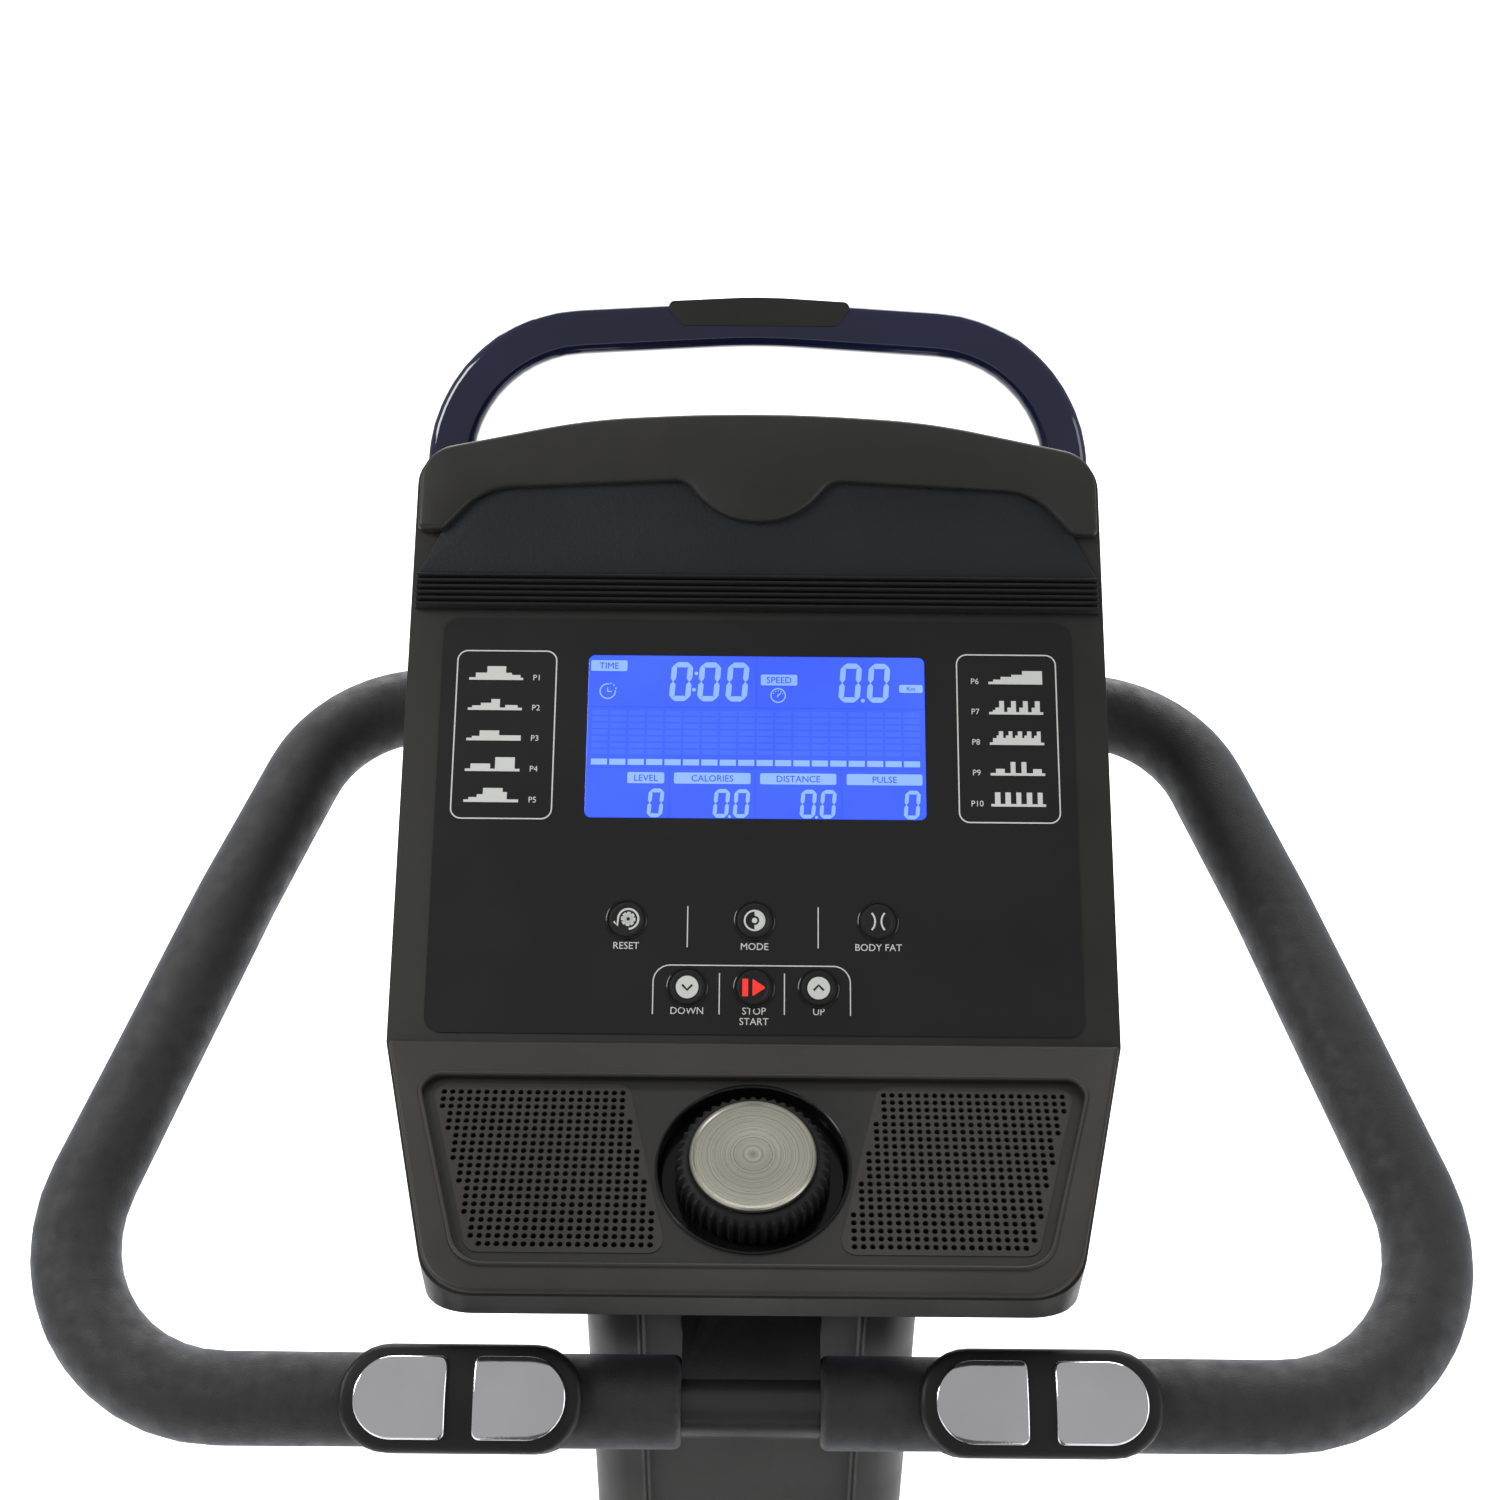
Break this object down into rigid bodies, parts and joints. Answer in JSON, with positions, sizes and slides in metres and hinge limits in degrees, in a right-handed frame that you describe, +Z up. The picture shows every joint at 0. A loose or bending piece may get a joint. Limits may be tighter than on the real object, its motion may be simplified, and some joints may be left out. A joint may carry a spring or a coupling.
{
  "type": "recumbent exercise bike",
  "caption": "Recumbent exercise bike: sliding padded seat on a rail, enclosed crank drive and a leaning mast with a display console, foam loop handlebar and glossy hoop.",
  "frame": {"origin": "on the floor under the middle of the machine's box", "axes": "+Y is where the rider faces, +X is the rider's right, +Z is up"},
  "size_m": [0.64, 1.5699, 1.3225],
  "materials": {
    "frame_paint": "satin black powder coat",
    "rail_metal": "brushed anodised",
    "steel": "machined",
    "rubber": "matt",
    "foam": "satin closed-cell foam",
    "upholstery": "soft vinyl",
    "black_plastic": "fine texture",
    "cover_plastic": "fine texture",
    "console_plastic": "fine texture",
    "membrane": "printed film",
    "display": "lit blue",
    "board": "printed board",
    "button_plastic": "satin",
    "chrome": "polished",
    "knob_metal": "spun disc",
    "navy_gloss": "high gloss",
    "motor_case": "plain"
  },
  "bodies": {
    "frame": {"circuit_board": "board", "console_front_shell": "console_plastic", "console_rear_shell": "console_plastic", "drive_belt": "rubber", "drive_cover_left": "cover_plastic", "drive_cover_right": "cover_plastic", "encoder": "black_plastic", "fasteners": "steel", "foam_grips": "foam", "handlebar_bracket": "frame_paint", "handlebar_tube": "frame_paint", "hoop_grip": "black_plastic", "hoop_handle": "navy_gloss", "keypad_overlay": "membrane", "lcd_panel": "display", "main_frame": "frame_paint", "mast_cover_front": "black_plastic", "mast_cover_rear": "black_plastic", "mast_tube": "frame_paint", "power_inlet": "black_plastic", "resistance_motor": "motor_case", "rubber_strip": "rubber", "seat_rail": "rail_metal", "sensor_housings": "black_plastic", "sensor_plates": "chrome", "speaker_grilles": "console_plastic", "speakers": "black_plastic", "stabilizer_end_caps": "rubber", "stabilizers": "frame_paint", "tablet_rest": "console_plastic"},
    "seat": {"seat_carriage": "frame_paint", "seat_frame": "frame_paint", "seat_shell": "black_plastic", "seat_cushion": "upholstery", "backrest_shell": "black_plastic", "backrest_cushion": "upholstery", "seat_handlebar": "frame_paint", "seat_grips": "foam"},
    "lever": {"seat_lever": "frame_paint"},
    "flywheel": {"flywheel": "steel"},
    "crank": {"crank_axle": "steel", "drive_pulley": "black_plastic", "crank_arm_left": "frame_paint", "crank_arm_right": "frame_paint"},
    "pedal_right": {"pedal_right": "black_plastic"},
    "pedal_left": {"pedal_left": "black_plastic"},
    "magnet_bracket": {"magnet_bracket": "frame_paint"},
    "knob": {"knob_skirt": "black_plastic", "knob_cap": "knob_metal", "knob_shaft": "steel"},
    "transport_wheel_right": {"transport_wheel_right": "rubber"},
    "transport_wheel_left": {"transport_wheel_left": "rubber"},
    "levelling_foot_right": {"levelling_foot_right": "rubber"},
    "levelling_foot_left": {"levelling_foot_left": "rubber"},
    "button_reset": {"button_reset": "button_plastic"},
    "button_mode": {"button_mode": "button_plastic"},
    "button_body_fat": {"button_body_fat": "button_plastic"},
    "button_down": {"button_down": "button_plastic"},
    "button_start_stop": {"button_start_stop": "button_plastic"},
    "button_up": {"button_up": "button_plastic"}
  },
  "joints": [
    {"name": "seat_slide", "type": "slide", "parent": "frame", "child": "seat", "axis": [0, 0.9962, -0.0872], "range_m": [-0.15, 0.15]},
    {"name": "seat_lever_swing", "type": "hinge", "parent": "seat", "child": "lever", "pos_m": [0, -0.31162, 0.28996], "axis": [1, 0, 0], "range_deg": [0, 25], "stiffness_Nm_per_rad": 1.2},
    {"name": "flywheel_spin", "type": "hinge", "parent": "frame", "child": "flywheel", "pos_m": [0, 0.645, 0.262], "axis": [1, 0, 0], "continuous": true},
    {"name": "crank_turn", "type": "hinge", "parent": "frame", "child": "crank", "pos_m": [0, 0.43, 0.33], "axis": [1, 0, 0], "continuous": true},
    {"name": "pedal_right_turn", "type": "hinge", "parent": "crank", "child": "pedal_right", "pos_m": [0.15, 0.595, 0.33], "axis": [1, 0, 0], "continuous": true},
    {"name": "pedal_left_turn", "type": "hinge", "parent": "crank", "child": "pedal_left", "pos_m": [-0.15, 0.265, 0.33], "axis": [1, 0, 0], "continuous": true},
    {"name": "magnet_swing", "type": "hinge", "parent": "frame", "child": "magnet_bracket", "pos_m": [-0.029, 0.539, 0.17], "axis": [1, 0, 0], "range_deg": [0, 8]},
    {"name": "knob_turn", "type": "hinge", "parent": "frame", "child": "knob", "pos_m": [0, 0.07757, 0.97487], "axis": [0, -0.5299, 0.848], "continuous": true},
    {"name": "transport_wheel_right_spin", "type": "hinge", "parent": "frame", "child": "transport_wheel_right", "pos_m": [0.15, 0.757, 0.034], "axis": [1, 0, 0], "continuous": true},
    {"name": "levelling_foot_right_turn", "type": "hinge", "parent": "frame", "child": "levelling_foot_right", "pos_m": [0.23, -0.751, 0.013], "axis": [0, 0, 1], "continuous": true},
    {"name": "transport_wheel_left_spin", "type": "hinge", "parent": "frame", "child": "transport_wheel_left", "pos_m": [-0.15, 0.757, 0.034], "axis": [1, 0, 0], "continuous": true},
    {"name": "levelling_foot_left_turn", "type": "hinge", "parent": "frame", "child": "levelling_foot_left", "pos_m": [-0.23, -0.751, 0.013], "axis": [0, 0, 1], "continuous": true},
    {"name": "button_reset_press", "type": "slide", "parent": "frame", "child": "button_reset", "axis": [0, 0.8695, -0.4939], "range_m": [0, 0.0008], "stiffness_N_per_m": 400, "springref_m": -0.0005},
    {"name": "button_mode_press", "type": "slide", "parent": "frame", "child": "button_mode", "axis": [0, 0.8695, -0.4939], "range_m": [0, 0.0008], "stiffness_N_per_m": 400, "springref_m": -0.0005},
    {"name": "button_body_fat_press", "type": "slide", "parent": "frame", "child": "button_body_fat", "axis": [0, 0.8695, -0.4939], "range_m": [0, 0.0008], "stiffness_N_per_m": 400, "springref_m": -0.0005},
    {"name": "button_down_press", "type": "slide", "parent": "frame", "child": "button_down", "axis": [0, 0.8695, -0.4939], "range_m": [0, 0.0008], "stiffness_N_per_m": 400, "springref_m": -0.0005},
    {"name": "button_start_stop_press", "type": "slide", "parent": "frame", "child": "button_start_stop", "axis": [0, 0.8695, -0.4939], "range_m": [0, 0.0008], "stiffness_N_per_m": 400, "springref_m": -0.0005},
    {"name": "button_up_press", "type": "slide", "parent": "frame", "child": "button_up", "axis": [0, 0.8695, -0.4939], "range_m": [0, 0.0008], "stiffness_N_per_m": 400, "springref_m": -0.0005}
  ],
  "couplings": [
    {"joint": "crank_turn", "follows": "flywheel_spin", "ratio": 0.28182}
  ]
}
